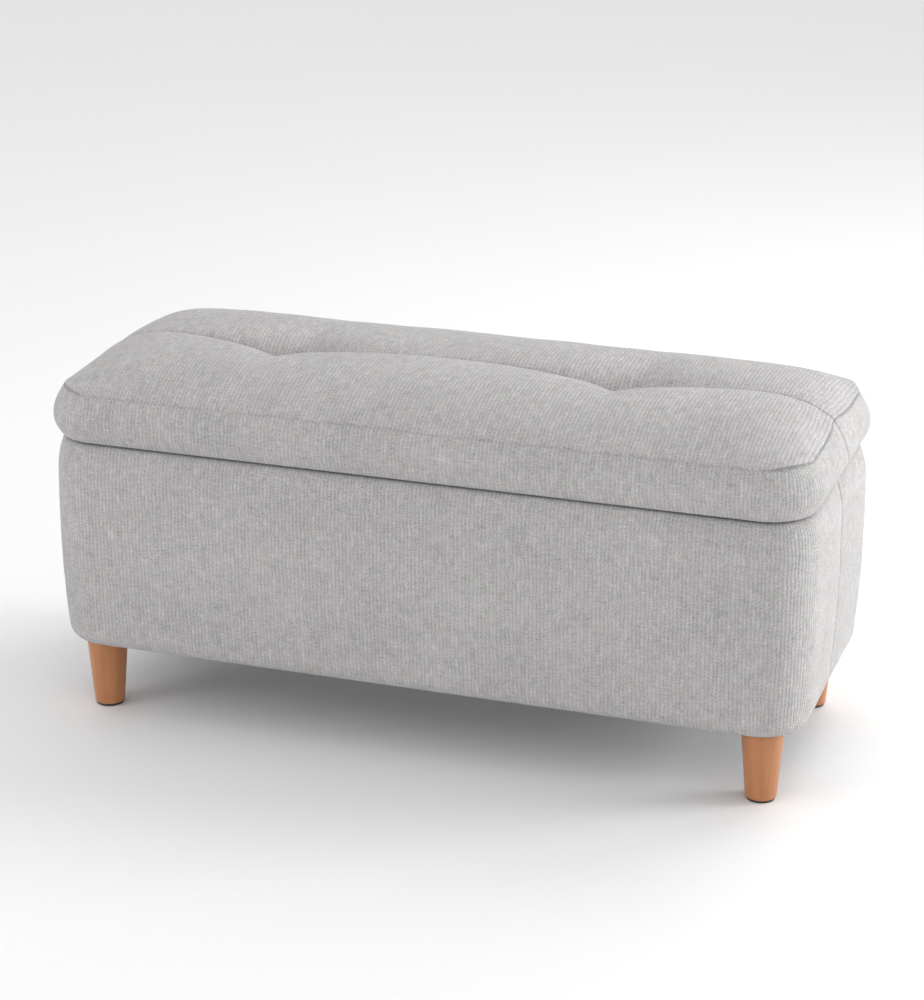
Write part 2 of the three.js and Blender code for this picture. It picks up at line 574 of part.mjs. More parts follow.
function addStrut(side, out) {
  const x = out * STRUT.x;
  const { tube, rod, baseY, baseZ, lidY, lidZ } = STRUT;
  const { start, end } = strutBody;
  const shell = turned([
    [0, start], [tube - 1, start], [tube, start + 1], [tube, end - 1], [tube - 1, end], [rod + 0.4, end],
    [rod + 0.4, end - 8], [tube - 1.5, end - 8], [tube - 1.5, start + 6], [0, start + 6],
  ], 16);
  const lowerFitting = cut(endFitting(0, start + 2), axle(FITTING.baseStud + FIT, -10, 10, 12, 0, 0));
  lean(addPiece(`strut_tube_${side}`, join(lowerFitting, shell), strutBlack), x);
  const pistonRod = post(rod, rodInside, strutReach - 8, 16);
  lean(addPiece(`strut_rod_${side}`, join(endFitting(strutReach, strutReach - 10), pistonRod), zinc), x);

  // The base bracket is screwed to the corner post's inner face, over the lining.
  const wall = carcassHalfLength - POST - LINING - 3 * FIT - STRUT.x;
  const basePlate = outwardBlock(x, out, wall - 2.5, wall, [baseY - 6, baseZ - 20], [baseY + 22, baseZ + 20]);
  const baseStud = outwardStud(FITTING.baseStud, x, out, -5.6, wall - 1, baseY, baseZ);
  const baseCap = outwardStud(FITTING.cap, x, out, -6, -4.2, baseY, baseZ);
  addPiece(`strut_base_bracket_${side}`, join(basePlate, baseStud, baseCap), zinc);

  // The lid bracket's stud stops just short of the strut's upper fitting.
  const earTop = LID_BOTTOM - 1.5;
  const foot = outwardBlock(x, out, -12, 8.5, [lidY - 22, earTop - 1.8], [lidY + 22, earTop]);
  const ear = outwardBlock(x, out, 6, 8.5, [lidY - 7, lidZ - 7], [lidY + 7, earTop]);
  const lidStud = outwardStud(FITTING.lidStud, x, out, FITTING.width / 2 + FIT, 8, lidY, lidZ);
  addPiece(`strut_lid_bracket_${side}`, join(foot, ear, lidStud), zinc);
}

// ---- assembly ----

addPanels();
atCorners(addCorner);
addBoxPadding();
addBoxCover();
addLinings();
addBumpers();
addLidBoard();
addLidFoam();
addTuftTies();
addLidTop();
addLidBorder();
addHinge("left", -HINGE.x);
addHinge("right", HINGE.x);
addStrut("left", -1);
addStrut("right", 1);

export default bench;
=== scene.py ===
"""Looks of an upholstered storage bench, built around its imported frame.

Lengths are metres. The origin is on the floor under the middle of the bench, +X runs along it to the right,
-Y faces the front and +Z is up.
"""

import json
import logging
import math
from collections.abc import Iterable, Sequence
from dataclasses import dataclass, field
from enum import Enum

import bmesh
import bpy
from mathutils import Matrix, Vector, noise


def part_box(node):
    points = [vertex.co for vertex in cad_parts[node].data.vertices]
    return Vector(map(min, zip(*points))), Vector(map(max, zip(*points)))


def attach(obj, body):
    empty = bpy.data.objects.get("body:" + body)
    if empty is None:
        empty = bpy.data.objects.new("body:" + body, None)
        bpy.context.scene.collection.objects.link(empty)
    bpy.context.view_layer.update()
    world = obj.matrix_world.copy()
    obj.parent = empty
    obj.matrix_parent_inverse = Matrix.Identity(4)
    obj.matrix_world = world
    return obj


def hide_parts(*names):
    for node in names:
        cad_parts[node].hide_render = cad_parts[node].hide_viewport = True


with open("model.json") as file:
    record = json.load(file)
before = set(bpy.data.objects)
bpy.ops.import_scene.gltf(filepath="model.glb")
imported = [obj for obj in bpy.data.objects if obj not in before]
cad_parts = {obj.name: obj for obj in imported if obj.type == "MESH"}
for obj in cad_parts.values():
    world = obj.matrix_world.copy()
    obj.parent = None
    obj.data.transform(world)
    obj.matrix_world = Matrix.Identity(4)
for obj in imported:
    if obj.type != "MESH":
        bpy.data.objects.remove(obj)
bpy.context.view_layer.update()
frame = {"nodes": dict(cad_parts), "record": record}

logging.basicConfig(level=logging.INFO, format="%(message)s")
log = logging.getLogger("bench")

MM = 0.001
FABRIC = 1.2 * MM
SEAM = "seam"
Colour = tuple[float, float, float]
Profile = list[tuple[float, float]]


# ---- helpers for curves and shapes ----


def bell(distance: float, width: float) -> float:
    """A smooth bump of height 1 that fades over a width."""
    return math.exp(-((distance / width) ** 2))


def ease(value: float, low: float, high: float) -> float:
    """A smooth step from 0 at low to 1 at high."""
    share = min(1.0, max(0.0, (value - low) / (high - low)))
    return share * share * (3 - 2 * share)


def softened(distance: float, soft: float) -> float:
    """A distance whose sharp turn at zero is rounded off."""
    return math.hypot(distance, soft) - soft


def fade_to_back(y: float) -> float:
    """1 along the front and 0 along the back, where the hinges are."""
    return 1 - ease(y, 50 * MM, 140 * MM)


@dataclass(frozen=True)
class Ripple:
    """Soft unevenness that is the same on each run: its height, its rough wavelength and its own pattern."""

    height: float
    wavelength: float
    seed: float

    def at(self, x: float, y: float, z: float) -> float:
        """The unevenness at a point."""
        shift = Vector((self.seed, self.seed * 1.7, self.seed * 0.3))
        return self.height * noise.noise(Vector((x, y, z)) / self.wavelength + shift)


@dataclass(frozen=True)
class Station:
    """A place on an outline, with its outward direction and its distance along the outline."""

    x: float
    y: float
    nx: float
    ny: float
    arc: float

    def inside(self, inset: float, z: float) -> Vector:
        """The point this far inside the outline, at a height."""
        return Vector((self.x - self.nx * inset, self.y - self.ny * inset, z))


@dataclass(frozen=True)
class Outline:
    """A rectangle with round corners about the origin."""

    half_length: float
    half_depth: float
    radius: float

    @property
    def perimeter(self) -> float:
        """Length once round."""
        straight = 4 * (self.half_length + self.half_depth - 2 * self.radius)
        return straight + 2 * math.pi * self.radius

    def station(self, share: float) -> Station:
        """The place at a share of the way round, from the middle of the back, anticlockwise from above.

        Args:
            share: From 0 to 1. The middles of the ends are at a quarter and at three quarters.

        Returns:
            The place on the outline.
        """
        along = (share % 1.0) * self.perimeter
        quarter = self.perimeter / 4
        turn = min(3, int(along / quarter))
        rest = along - turn * quarter
        first, second = self.half_length - self.radius, self.half_depth - self.radius
        if turn % 2:
            first, second = second, first
        bend = self.radius * math.pi / 2
        if rest < first:
            local, normal = (-rest, second + self.radius), (0.0, 1.0)
        elif rest < first + bend:
            angle = (rest - first) / self.radius
            normal = (-math.sin(angle), math.cos(angle))
            local = (-first + normal[0] * self.radius, second + normal[1] * self.radius)
        else:
            local, normal = (-first - self.radius, second - (rest - first - bend)), (-1.0, 0.0)
        spin = Matrix.Rotation(turn * math.pi / 2, 2)
        point, out = spin @ Vector(local), spin @ Vector(normal)
        return Station(point.x, point.y, out.x, out.y, along)

    def nearest(self, x: float, y: float) -> Station:
        """The place on the outline nearest to a point that lies on it or just inside it.

        Args:
            x: The point's place along the bench.
            y: Its place across the bench.

        Returns:
            The place on the outline.
        """
        core = Vector((self.half_length - self.radius, self.half_depth - self.radius))
        beyond = Vector((max(0.0, abs(x) - core.x), max(0.0, abs(y) - core.y)))
        if beyond.x > 0 and beyond.y > 0:
            out = beyond.normalized()
        elif beyond.x > 0:
            out = Vector((1.0, 0.0))
        else:
            out = Vector((0.0, 1.0))
        out = Vector((math.copysign(out.x, x), math.copysign(out.y, y)))
        base_x = min(abs(x), core.x) if beyond.x > 0 else abs(x)
        base_y = min(abs(y), core.y) if beyond.y > 0 else abs(y)
        px = math.copysign(base_x, x) + out.x * self.radius * (beyond.x > 0)
        py = math.copysign(base_y, y) + out.y * self.radius * (beyond.y > 0)
        return Station(px, py, out.x, out.y, self.arc_of(px, py, out))

    def depth(self, x: float, y: float) -> float:
        """How far a point lies inside the outline.

        Args:
            x: The point's place along the bench.
            y: Its place across the bench.

        Returns:
            The distance, negative outside it.
        """
        beyond_x = abs(x) - self.half_length + self.radius
        beyond_y = abs(y) - self.half_depth + self.radius
        outside = math.hypot(max(0.0, beyond_x), max(0.0, beyond_y))
        return self.radius - outside - min(0.0, max(beyond_x, beyond_y))

    def at_end(self, x: float, start: float, full: float) -> float:
        """How much a point belongs to an end.

        Args:
            x: The point's place along the bench.
            start: Distance from the end where the share leaves 0.
            full: Distance from the end where it reaches 1.

        Returns:
            The share, from 0 to 1.
        """
        return ease(abs(x), self.half_length - start, self.half_length - full)

    def arc_of(self, x: float, y: float, out: Vector) -> float:
        """Distance along the outline of a point on it, from the middle of the back, anticlockwise.

        Args:
            x: The point's place along the bench.
            y: Its place across the bench.
            out: The outward direction there.

        Returns:
            The distance.
        """
        first, second = self.half_length - self.radius, self.half_depth - self.radius
        quarter = self.perimeter / 4
        across = abs(math.atan2(abs(out.x), abs(out.y))) * self.radius
        from_long = min(abs(x), first) + across + max(0.0, second - abs(y)) * (abs(out.x) > 0.999)
        if x <= 0:
            return from_long if y >= 0 else 2 * quarter - from_long
        return 4 * quarter - from_long if y >= 0 else 2 * quarter + from_long


def round_corners(x: float, y: float, outline: Outline) -> tuple[float, float]:
    """Pulls a point of an outline's square plan in, so that the plan's corners come out round.

    Args:
        x: The point's place along the bench.
        y: Its place across the bench.
        outline: The outline with the round corners.

    Returns:
        The point's new place.
    """
    length, depth, radius = outline.half_length, outline.half_depth, outline.radius
    reach = max(abs(x) / length, abs(y) / depth)
    if reach < 1e-9:
        return x, y
    edge = Vector((abs(x) / reach, abs(y) / reach))
    core = Vector((length - radius, depth - radius))
    if edge.x <= core.x or edge.y <= core.y:
        return x, y
    dot, square = edge.dot(core), edge.length_squared
    share = (dot + math.sqrt(dot * dot - square * (core.length_squared - radius * radius))) / square
    pull = 1 + (share - 1) * reach**4
    return x * pull, y * pull


def shown(bm: bmesh.types.BMesh, name: str, material: bpy.types.Material) -> bpy.types.Object:
    """Turns a bmesh into a smooth object in the scene, with its normals outwards.

    Args:
        bm: The mesh, which is freed.
        name: The piece's name.
        material: Its finish.

    Returns:
        The object, at the origin.
    """
    bmesh.ops.recalc_face_normals(bm, faces=bm.faces)
    for face in bm.faces:
        face.smooth = True
    mesh = bpy.data.meshes.new(name)
    bm.to_mesh(mesh)
    bm.free()
    mesh.materials.append(material)
    piece = bpy.data.objects.new(name, mesh)
    bpy.context.scene.collection.objects.link(piece)
    return piece


# ---- finishes ----


class Graph:
    """A material's node tree with short calls for the nodes the finishes share."""

    def __init__(self, name: str) -> None:
        """Starts a material whose shader is a Principled BSDF."""
        self.material = bpy.data.materials.new(name)
        self.material.use_nodes = True
        self.tree = self.material.node_tree
        self.shader = self.tree.nodes["Principled BSDF"]

    def add(self, kind: str, **settings: object) -> bpy.types.Node:
        """A new node.

        Args:
            kind: The node's type.
            **settings: Its attributes and their values.

        Returns:
            The node.
        """
        node = self.tree.nodes.new(kind)
        for key, value in settings.items():
            setattr(node, key, value)
        return node

    def feed(self, socket: bpy.types.NodeSocket, value: object) -> None:
        """Links a socket to another, or sets its number.

        Args:
            socket: The socket that takes the value.
            value: A socket or a number.
        """
        if isinstance(value, bpy.types.NodeSocket):
            self.tree.links.new(value, socket)
        else:
            socket.default_value = value

    def math(self, operation: str, *values: object) -> bpy.types.NodeSocket:
        """The result of a Math node.

        Args:
            operation: The node's operation.
            *values: Its inputs in order, each a socket or a number.

        Returns:
            The result's socket.
        """
        node = self.add("ShaderNodeMath", operation=operation)
        for socket, value in zip(node.inputs, values):
            self.feed(socket, value)
        return node.outputs[0]

    def coordinates(self, output: str) -> bpy.types.NodeSocket:
        """One of the Texture Coordinate node's outputs."""
        return self.add("ShaderNodeTexCoord").outputs[output]

    def scaled(self, vector: bpy.types.NodeSocket, scale: Sequence[float]) -> bpy.types.NodeSocket:
        """A vector stretched along each axis.

        Args:
            vector: The vector's socket.
            scale: The stretch along each axis.

        Returns:
            The stretched vector's socket.
        """
        node = self.add("ShaderNodeVectorMath", operation="MULTIPLY")
        self.feed(node.inputs[0], vector)
        node.inputs[1].default_value = scale
        return node.outputs[0]

    def noise(self, vector: bpy.types.NodeSocket, detail: float = 2.0) -> bpy.types.NodeSocket:
        """The factor of a Noise node.

        Args:
            vector: Where the noise is read.
            detail: How many finer sizes it holds.

        Returns:
            The factor's socket, from 0 to 1.
        """
        node = self.add("ShaderNodeTexNoise")
        self.feed(node.inputs["Vector"], vector)
        node.inputs["Scale"].default_value = 1.0
        node.inputs["Detail"].default_value = detail
        return node.outputs["Fac"]

    def blend(self, factor: bpy.types.NodeSocket, low: Colour, high: Colour) -> bpy.types.NodeSocket:
        """A colour between two.

        Args:
            factor: The socket that chooses between them.
            low: The colour at 0.
            high: The colour at 1.

        Returns:
            The colour's socket.
        """
        node = self.add("ShaderNodeMix", data_type="RGBA")
        self.feed(node.inputs["Factor"], factor)
        node.inputs["A"].default_value = (*low, 1.0)
        node.inputs["B"].default_value = (*high, 1.0)
        return node.outputs["Result"]

    def bump(self, height: bpy.types.NodeSocket, distance: float, strength: float) -> None:
        """Gives the shader relief.

        Args:
            height: The height's socket.
            distance: The relief's depth in metres.
            strength: Its strength, from 0 to 1.
        """
        node = self.add("ShaderNodeBump")
        self.feed(node.inputs["Height"], height)
        node.inputs["Distance"].default_value = distance
        node.inputs["Strength"].default_value = strength
        self.feed(self.shader.inputs["Normal"], node.outputs["Normal"])


@dataclass(frozen=True)
class WovenCloth:
    """A slubby ribbed weave that follows a piece's UV map, whose unit is the metre."""

    name: str
    dark: Colour
    light: Colour
    rib: float = 5.0 * MM
    pick: float = 2.6 * MM
    relief: float = 0.8 * MM
    wander: float = 0.9
    contrast: float = 0.95
    patchiness: float = 0.22
    speckle: float = 1.25
    hollow_shade: float = 0.30
    seam_shade: float = 0.75
    slub_rate: float = 60.0

    def make(self) -> bpy.types.Material:
        """The cloth's material."""
        g = Graph(self.name)
        split = g.add("ShaderNodeSeparateXYZ")
        uv = g.coordinates("UV")
        g.feed(split.inputs[0], uv)
        wander = g.math("MULTIPLY", g.math("SUBTRACT", g.noise(g.scaled(uv, (40, 40, 1))), 0.5), self.wander)
        across = g.math("ADD", g.math("DIVIDE", split.outputs["X"], self.rib), wander)
        along = g.math("ADD", g.math("DIVIDE", split.outputs["Y"], self.pick), wander)
        warp_yarn, warp_tone = self.yarn(g, across, split.outputs["Y"], 5.31)
        weft_yarn, weft_tone = self.yarn(g, along, split.outputs["X"], 9.17)
        phase = g.math("MULTIPLY", self.wave(g, across, 0.5), self.wave(g, along, 0.5))
        over = g.math("MULTIPLY_ADD", phase, 0.38, 0.56)
        under = g.math("SUBTRACT", 1.0, over)
        warp = g.math("MULTIPLY", warp_yarn, g.math("MULTIPLY_ADD", over, 0.45, 0.55))
        weft = g.math("MULTIPLY", weft_yarn, g.math("MULTIPLY_ADD", under, 0.55, 0.25))
        height = g.math("MAXIMUM", warp, weft)
        mixed = g.math("ADD", g.math("MULTIPLY", warp_tone, over), g.math("MULTIPLY", weft_tone, under))
        patches = g.noise(g.scaled(uv, (9, 9, 1)), 3.0)
        speckle = g.noise(g.scaled(uv, (560, 560, 1)), 2.0)
        tone = g.math("MULTIPLY_ADD", g.math("SUBTRACT", mixed, 0.5), self.contrast, 0.5)
        tone = g.math("MULTIPLY_ADD", g.math("SUBTRACT", patches, 0.5), self.patchiness, tone)
        tone = g.math("MULTIPLY_ADD", g.math("SUBTRACT", speckle, 0.5), self.speckle, tone)
        # painted shade: the colour darkens where the yarns lie low, in the hollows between the ribs
        tone = g.math("MULTIPLY_ADD", g.math("SUBTRACT", height, 0.7), self.hollow_shade, tone)
        # painted shade: the seam mask darkens the colour in the seam grooves
        seam = g.add("ShaderNodeAttribute", attribute_name=SEAM).outputs["Fac"]
        tone = g.math("MULTIPLY_ADD", seam, -self.seam_shade, tone)
        node = g.add("ShaderNodeClamp")
        g.feed(node.inputs["Value"], tone)
        g.feed(g.shader.inputs["Base Color"], g.blend(node.outputs[0], self.dark, self.light))
        g.shader.inputs["Roughness"].default_value = 0.92
        g.shader.inputs["Specular IOR Level"].default_value = 0.2
        g.shader.inputs["Sheen Weight"].default_value = 0.10
        g.shader.inputs["Sheen Roughness"].default_value = 0.5
        lifted = g.math("MULTIPLY_ADD", mixed, 0.6, height)
        lifted = g.math("MULTIPLY_ADD", speckle, 0.5, lifted)
        g.bump(lifted, self.relief, 0.75)
        return g.material

    def wave(self, g: Graph, threads: bpy.types.NodeSocket, shift: float) -> bpy.types.NodeSocket:
        """A sine that turns over once in each thread."""
        return g.math("SINE", g.math("MULTIPLY", g.math("ADD", threads, shift), math.pi))

    def yarn(
        self, g: Graph, threads: bpy.types.NodeSocket, run: bpy.types.NodeSocket, seed: float
    ) -> tuple[bpy.types.NodeSocket, bpy.types.NodeSocket]:
        """The round section of the yarns of one direction, and the tone of each yarn along its run.

        Args:
            g: The material's graph.
            threads: How many threads across a point lies.
            run: How far along the threads it lies, in metres.
            seed: A number that sets this direction's yarns apart.

        Returns:
            The section's height and the tone, both from 0 to 1.
        """
        section = g.math("ABSOLUTE", self.wave(g, threads, 0.0))
        place = g.add("ShaderNodeCombineXYZ")
        g.feed(place.inputs[0], g.math("MULTIPLY", g.math("FLOOR", threads), seed))
        g.feed(place.inputs[1], g.math("MULTIPLY", run, self.slub_rate))
        return section, g.noise(place.outputs[0], 3.0)


@dataclass(frozen=True)
class Beech:
    """Lacquered beech with its grain along Z and short flecks."""

    name: str = "beech"
    dark: Colour = (0.31, 0.112, 0.036)
    light: Colour = (0.54, 0.220, 0.085)
    fleck_edge: float = 0.635
    fleck_shade: float = 0.22
    lacquer: float = 0.25

    def make(self) -> bpy.types.Material:
        """The timber's material."""
        g = Graph(self.name)
        place = g.coordinates("Object")
        grain = g.noise(g.scaled(place, (120, 90, 9)), 4.0)
        bands = g.noise(g.scaled(place, (34, 26, 2.2)), 2.0)
        flecks = g.noise(g.scaled(place, (900, 700, 95)), 2.0)
        dark_fleck = g.math("MULTIPLY", g.math("GREATER_THAN", flecks, self.fleck_edge), -self.fleck_shade)
        tone = g.math("MULTIPLY_ADD", grain, 0.75, -0.10)
        tone = g.math("MULTIPLY_ADD", bands, 0.55, tone)
        tone = g.math("ADD", tone, dark_fleck)
        clamp = g.add("ShaderNodeClamp")
        g.feed(clamp.inputs["Value"], tone)
        g.feed(g.shader.inputs["Base Color"], g.blend(clamp.outputs[0], self.dark, self.light))
        g.feed(g.shader.inputs["Roughness"], g.math("MULTIPLY_ADD", grain, 0.2, 0.32))
        g.shader.inputs["Coat Weight"].default_value = self.lacquer
        g.shader.inputs["Coat Roughness"].default_value = 0.25
        g.bump(flecks, 0.15 * MM, 0.25)
        return g.material


@dataclass(frozen=True)
class Mottled:
    """A finish whose tone and relief come from two sizes of grain on object coordinates."""

    name: str
    dark: Colour
    light: Colour
    coarse: tuple[float, float, float] = (60, 60, 60)
    fine: tuple[float, float, float] = (900, 900, 900)
    roughness: float = 0.8
    metallic: float = 0.0
    relief: float = 0.2 * MM

    def make(self) -> bpy.types.Material:
        """The finish's material."""
        g = Graph(self.name)
        place = g.coordinates("Object")
        coarse = g.noise(g.scaled(place, self.coarse), 3.0)
        fine = g.noise(g.scaled(place, self.fine), 2.0)
        tone = g.math("MULTIPLY_ADD", coarse, 0.6, g.math("MULTIPLY", fine, 0.4))
        g.feed(g.shader.inputs["Base Color"], g.blend(tone, self.dark, self.light))
        low = max(0.05, self.roughness - 0.08)
        g.feed(g.shader.inputs["Roughness"], g.math("MULTIPLY_ADD", coarse, 0.16, low))
        g.shader.inputs["Metallic"].default_value = self.metallic
        g.bump(fine, self.relief, 0.4)
        return g.material


class Slot(Enum):
    """The record's material slots and the finish of each."""

    GREY_FABRIC = WovenCloth("grey_fabric", (0.230, 0.224, 0.222), (0.665, 0.653, 0.648))
    BEECH = Beech()
    PLYWOOD = Mottled("plywood", (0.42, 0.27, 0.13), (0.66, 0.48, 0.29), (6, 60, 400), (40, 900, 900), 0.65)
    FOAM = Mottled("foam", (0.62, 0.56, 0.38), (0.80, 0.74, 0.56), (80, 80, 80), (1400, 1400, 1400), 0.95)
    NON_WOVEN = Mottled(
        "non_woven", (0.012, 0.012, 0.013), (0.045, 0.045, 0.048), (500, 500, 500), roughness=0.9
    )
    LINING_GREY = Mottled(
        "lining_grey", (0.11, 0.11, 0.115), (0.21, 0.21, 0.215), (300, 300, 300), roughness=0.9
    )
    ZINC_PLATE = Mottled(
        "zinc_plate", (0.42, 0.43, 0.44), (0.62, 0.63, 0.64), (70, 70, 70), roughness=0.34, metallic=1.0
    )
    STRUT_BLACK = Mottled("strut_black", (0.010, 0.010, 0.011), (0.02, 0.02, 0.021), roughness=0.36)
    DARK_PLASTIC = Mottled("dark_plastic", (0.028, 0.018, 0.012), (0.055, 0.036, 0.026), roughness=0.55)

    @property
    def slot_name(self) -> str:
        """The slot's name in the record."""
        return self.name.lower()


@dataclass
class Finishes:
    """The materials, each made once."""

    made: dict[Slot, bpy.types.Material] = field(default_factory=dict)

    def of(self, slot: Slot) -> bpy.types.Material:
        """The material of a slot."""
        if slot not in self.made:
            self.made[slot] = slot.value.make()
        return self.made[slot]

    def dress_frame(self) -> None:
        """Gives each node of the frame the finish of its slot."""
        for row in frame["record"]["subparts"]:
            node = frame["nodes"][row["node"]]
            node.data.materials.clear()
            node.data.materials.append(self.of(Slot[row["material_slot"].upper()]))


# ---- sewn covers ----


def wrapped(outline: Outline, columns: int, profile: Profile, crowd: float) -> bmesh.types.BMesh:
    """A closed ring that carries a closed profile round an outline, with a UV map in metres.

    Args:
        outline: The line that the ring follows.
        columns: How many columns of faces go round.
        profile: Closed list of (inset, height) points, with the first one repeated at its end.
        crowd: How strongly the columns crowd towards the seams at the middles of the ends, from 0 to 1.

    Returns:
        The ring's mesh.
    """
    bm = bmesh.new()
    bm.verts.layers.float.new(SEAM)
    rows = len(profile) - 1
    bmesh.ops.create_grid(bm, x_segments=columns, y_segments=rows, size=1.0)
    lengths = [0.0]
    for (inset, z), (next_inset, next_z) in zip(profile, profile[1:]):
        lengths.append(lengths[-1] + math.hypot(next_inset - inset, next_z - z))
    layer = bm.loops.layers.uv.new("UVMap")
    places: dict[bmesh.types.BMVert, tuple[Station, int]] = {}
    for vert in bm.verts:
        share = (vert.co.x + 1) / 2
        warped = share + crowd * math.sin(4 * math.pi * share) / (4 * math.pi)
        station = outline.station(min(warped, 1 - 1e-9))
        places[vert] = (station, round((vert.co.y + 1) / 2 * rows))
    for face in bm.faces:
        for loop in face.loops:
            station, row = places[loop.vert]
            loop[layer].uv = (station.arc, lengths[row])
    for vert, (station, row) in places.items():
        vert.co = station.inside(*profile[row])
    bmesh.ops.remove_doubles(bm, verts=bm.verts, dist=1e-6)
    return bm


def mark_seams(bm: bmesh.types.BMesh, shares: dict[bmesh.types.BMVert, float]) -> None:
    """Stores how deep in a seam each vertex lies, for the cloth's material to darken there as painted shade.

    Args:
        bm: The cover's mesh, which has the seam layer.
        shares: The depth of each vertex, from 0 to 1.
    """
    layer = bm.verts.layers.float[SEAM]
    for vert, share in shares.items():
        vert[layer] = share


def fine_profile(points: Profile, step: float) -> Profile:
    """The same line with more points.

    Args:
        points: The line's (inset, height) points.
        step: The furthest that neighbours may stand apart.

    Returns:
        The finer line.
    """
    out = [points[0]]
    for (inset, z), (next_inset, next_z) in zip(points, points[1:]):
        count = max(1, math.ceil(math.hypot(next_inset - inset, next_z - z) / step))
        for i in range(1, count + 1):
            out.append((inset + (next_inset - inset) * i / count, z + (next_z - z) * i / count))
    return out


@dataclass
class BoxUpholstery:
    """The box's padding and fabric: one closed soft form, turned in at the rim and under the box."""

    finishes: Finishes
    corner: float = 67 * MM
    columns: int = 620
    crowd: float = 0.72
    foot_steps: int = 12
    side_steps: int = 44
    step: float = 7 * MM
    seam_width: float = 2.0 * MM
    seam_depth: float = 2.2 * MM
    valley_width: float = 26 * MM
    valley_depth: float = 2.2 * MM
    under_inset: float = 42 * MM
    hem_drop: float = 43 * MM
    hem_inset: float = 29.8 * MM
    back_inset: float = 11.7 * MM
    foot_flat: float = 24 * MM
    foot_rise: float = 22 * MM
    draw_height: float = 134.6 * MM
    foot_draw: float = 6 * MM
    rim_height: float = 49 * MM
    rim_draw: float = 10 * MM
    front_rise: float = 1.2 * MM
    pucker: Ripple = Ripple(0.7 * MM, 15 * MM, 3.1)
    gather: Ripple = Ripple(0.7 * MM, 30 * MM, 8.4)
    broad: Ripple = Ripple(1.1 * MM, 130 * MM, 1.3)
    small: Ripple = Ripple(0.45 * MM, 45 * MM, 5.2)
    outline: Outline = field(init=False)
    bottom: float = field(init=False)
    rim: float = field(init=False)

    def __post_init__(self) -> None:
        """Reads the cover's box from the frame."""
        low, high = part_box("box_cover_front")
        self.outline = Outline(high.x, -low.y, self.corner)
        self.bottom, self.rim = low.z, high.z

    def inset(self, z: float) -> float:
        """How far the side stands inside its widest outline: it draws in below and at the rim."""
        below = max(0.0, 1 - (z - self.bottom - self.foot_rise) / self.draw_height)
        above = max(0.0, (z - self.rim + self.rim_height) / self.rim_height)
        return self.foot_draw * below**2 + self.rim_draw * above**2.4

    def profile(self) -> Profile:
        """The soft form's section: out from under the box, up its side, over the rim and down inside.

        Returns:
            Closed list of (inset, height) points.
        """
        points: Profile = [(self.under_inset, self.bottom), (self.foot_flat, self.bottom)]
        foot_top = self.bottom + self.foot_rise
        reach = self.foot_flat - self.inset(foot_top)
        for i in range(1, self.foot_steps + 1):
            angle = i / self.foot_steps * math.pi / 2
            lift = self.foot_rise * (1 - math.cos(angle))
            points.append((self.foot_flat - reach * math.sin(angle), self.bottom + lift))
        side_top = self.rim - 5 * MM
        for i in range(1, self.side_steps + 1):
            z = foot_top + (side_top - foot_top) * i / self.side_steps
            points.append((self.inset(z), z))
        rim_radius = 3 * MM
        points += [(10.2 * MM, self.rim - 1.6 * MM), (13 * MM, self.rim - 0.2 * MM), (16 * MM, self.rim)]
        points += [(self.hem_inset - rim_radius, self.rim), (self.hem_inset - 0.8 * MM, self.rim - 0.8 * MM)]
        points += [(self.hem_inset, self.rim - rim_radius), (self.hem_inset, self.rim - self.hem_drop)]
        inner = self.hem_inset - FABRIC
        points += [(inner, self.rim - self.hem_drop), (inner, self.rim - 2 * MM)]
        points += [(self.back_inset + 3 * MM, self.rim - 1.3 * MM), (self.back_inset, self.rim - 5 * MM)]
        points += [(self.back_inset, self.bottom + 22 * MM)]
        points += [(22 * MM, self.bottom + 4.2 * MM), (self.under_inset, self.bottom + FABRIC), points[0]]
        return fine_profile(points, self.step)

    def shape(self, vert: bmesh.types.BMVert) -> Vector:
        """How far the fabric moves at a vertex, for its end seams, its gathers and its soft unevenness.

        Args:
            vert: A vertex of the box's outside.

        Returns:
            The move.
        """
        x, y, z = vert.co
        clear_of_foot = ease(z, self.bottom + 1 * MM, self.bottom + 12 * MM)
        on_side = clear_of_foot * (1 - ease(z, self.rim - 4 * MM, self.rim))
        at_end = self.outline.at_end(x, 60 * MM, 30 * MM)
        seam = self.seam_depth * bell(y, self.seam_width) + self.valley_depth * bell(y, self.valley_width)
        pucker = self.pucker.at(0, y * 0.2, z) * bell(y, 15 * MM)
        low = 1 - ease(z, self.bottom + 20 * MM, self.bottom + 90 * MM)
        high = ease(z, self.rim - 60 * MM, self.rim - 10 * MM)
        gather = self.gather.at(x, y, z * 0.12) * (low + high)
        soft = self.broad.at(x, y, z) + self.small.at(x, y, z)
        return vert.normal * on_side * (gather + soft + at_end * (pucker - seam))

    def build(self) -> bpy.types.Object:
        """Makes the piece and puts it in the frame."""
        bm = wrapped(self.outline, self.columns, self.profile(), self.crowd)
        bmesh.ops.recalc_face_normals(bm, faces=bm.faces)
        bm.normal_update()
        moves = {vert: self.shape(vert) for vert in bm.verts if self.is_face(vert)}
        end = self.outline.half_length - 60 * MM
        # mask of the painted shade down the seams at the ends
        mark_seams(bm, {vert: bell(vert.co.y, 1.4 * MM) for vert in moves if abs(vert.co.x) > end})
        for vert, move in moves.items():
            vert.co += move
        for vert in bm.verts:
            high = ease(vert.co.z, self.rim - 12 * MM, self.rim - 1 * MM)
            vert.co.z += self.front_rise * high * fade_to_back(vert.co.y)
        piece = shown(bm, "box_upholstery", self.finishes.of(Slot.GREY_FABRIC))
        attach(piece, "box")
        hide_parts("box_cover_front", "box_cover_back", "box_padding_front", "box_padding_back")
        return piece

    def is_face(self, vert: bmesh.types.BMVert) -> bool:
        """Whether a vertex is on the outside of the box, and not on its hem or back."""
        station = self.outline.nearest(vert.co.x, vert.co.y)
        inset = Vector((station.x - vert.co.x, station.y - vert.co.y)).length
        return inset < self.back_inset - 0.5 * MM or vert.co.z < self.bottom + 0.5 * MM


